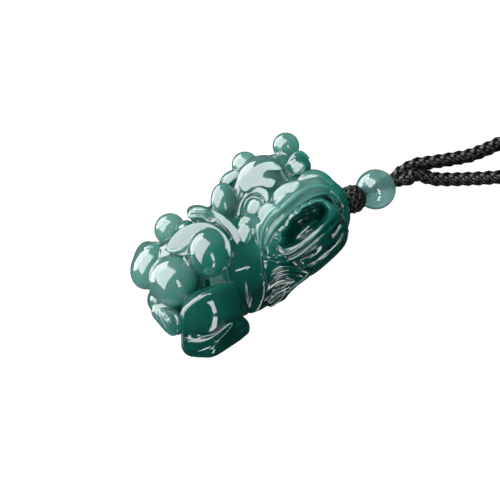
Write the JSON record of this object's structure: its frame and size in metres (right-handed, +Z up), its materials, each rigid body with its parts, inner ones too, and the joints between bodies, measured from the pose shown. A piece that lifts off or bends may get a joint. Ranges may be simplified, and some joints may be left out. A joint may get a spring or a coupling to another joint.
{
  "type": "chinese jade pendant",
  "caption": "Carved jade beast pendant with an open mouth, hung from a knot, a round jade bead and a braided neck cord that closes in a loop.",
  "frame": {"origin": "centre of the flat on the carving's far flank, on the surface that the pendant lies on", "axes": "+X along the carving from the rump towards the bead and the neck cord, +Y towards the beast's back, +Z up towards its face"},
  "size_m": [0.2591, 0.139, 0.0169],
  "materials": {
    "jade": "mirror polish, translucent green, milky at the top and dark at the feet",
    "pale_jade": "mirror polish, translucent pale grey green",
    "cord": "black braided thread with a slight sheen"
  },
  "bodies": {
    "root": {"pixiu": "jade", "hang_thread": "cord", "pendant_knot": "cord", "bead": "pale_jade", "gather": "cord", "cord_back": "cord", "cord_front": "cord", "closing_knot": "cord"}
  },
  "joints": []
}
